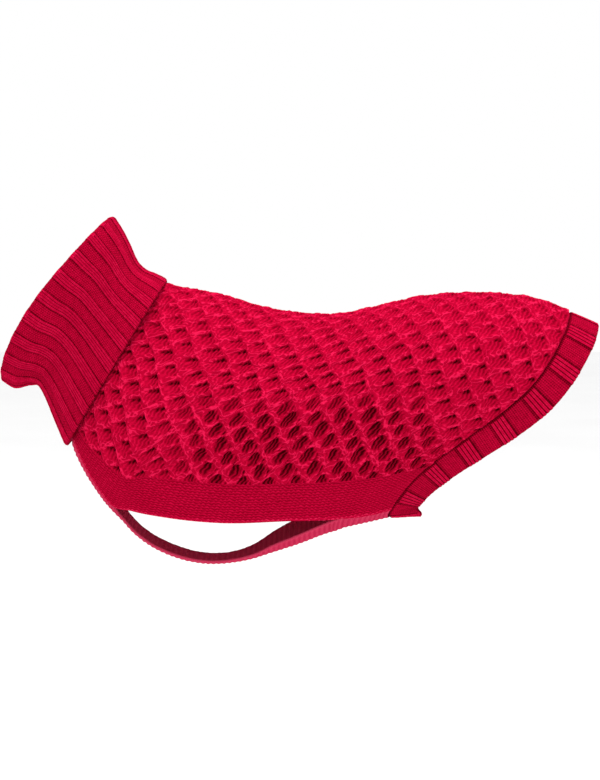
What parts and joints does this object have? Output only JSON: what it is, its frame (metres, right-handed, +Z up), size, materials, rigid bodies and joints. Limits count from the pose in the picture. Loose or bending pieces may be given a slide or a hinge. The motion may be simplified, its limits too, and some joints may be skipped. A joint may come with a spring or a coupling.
{
  "type": "dog sweater",
  "caption": "Knitted dog pullover in worn form: honeycomb back and sides, ribbed belly strip, folded ribbed collar, ribbed hem.",
  "frame": {"origin": "inner face of the back at mid-back on the centre plane, where the wearer's back carries the cloth", "axes": "+X towards the tail and -X towards the head, +Y towards the wearer's right, +Z up"},
  "size_m": [0.534, 0.1896, 0.3113],
  "materials": {
    "honeycomb_knit": "soft matte crimson yarn, honeycomb relief",
    "ribbed_knit": "soft matte crimson yarn, ribbed"
  },
  "bodies": {
    "root": {"body_panel": "honeycomb_knit", "belly_panel": "ribbed_knit", "collar": "ribbed_knit", "hem_band": "ribbed_knit"}
  },
  "joints": []
}
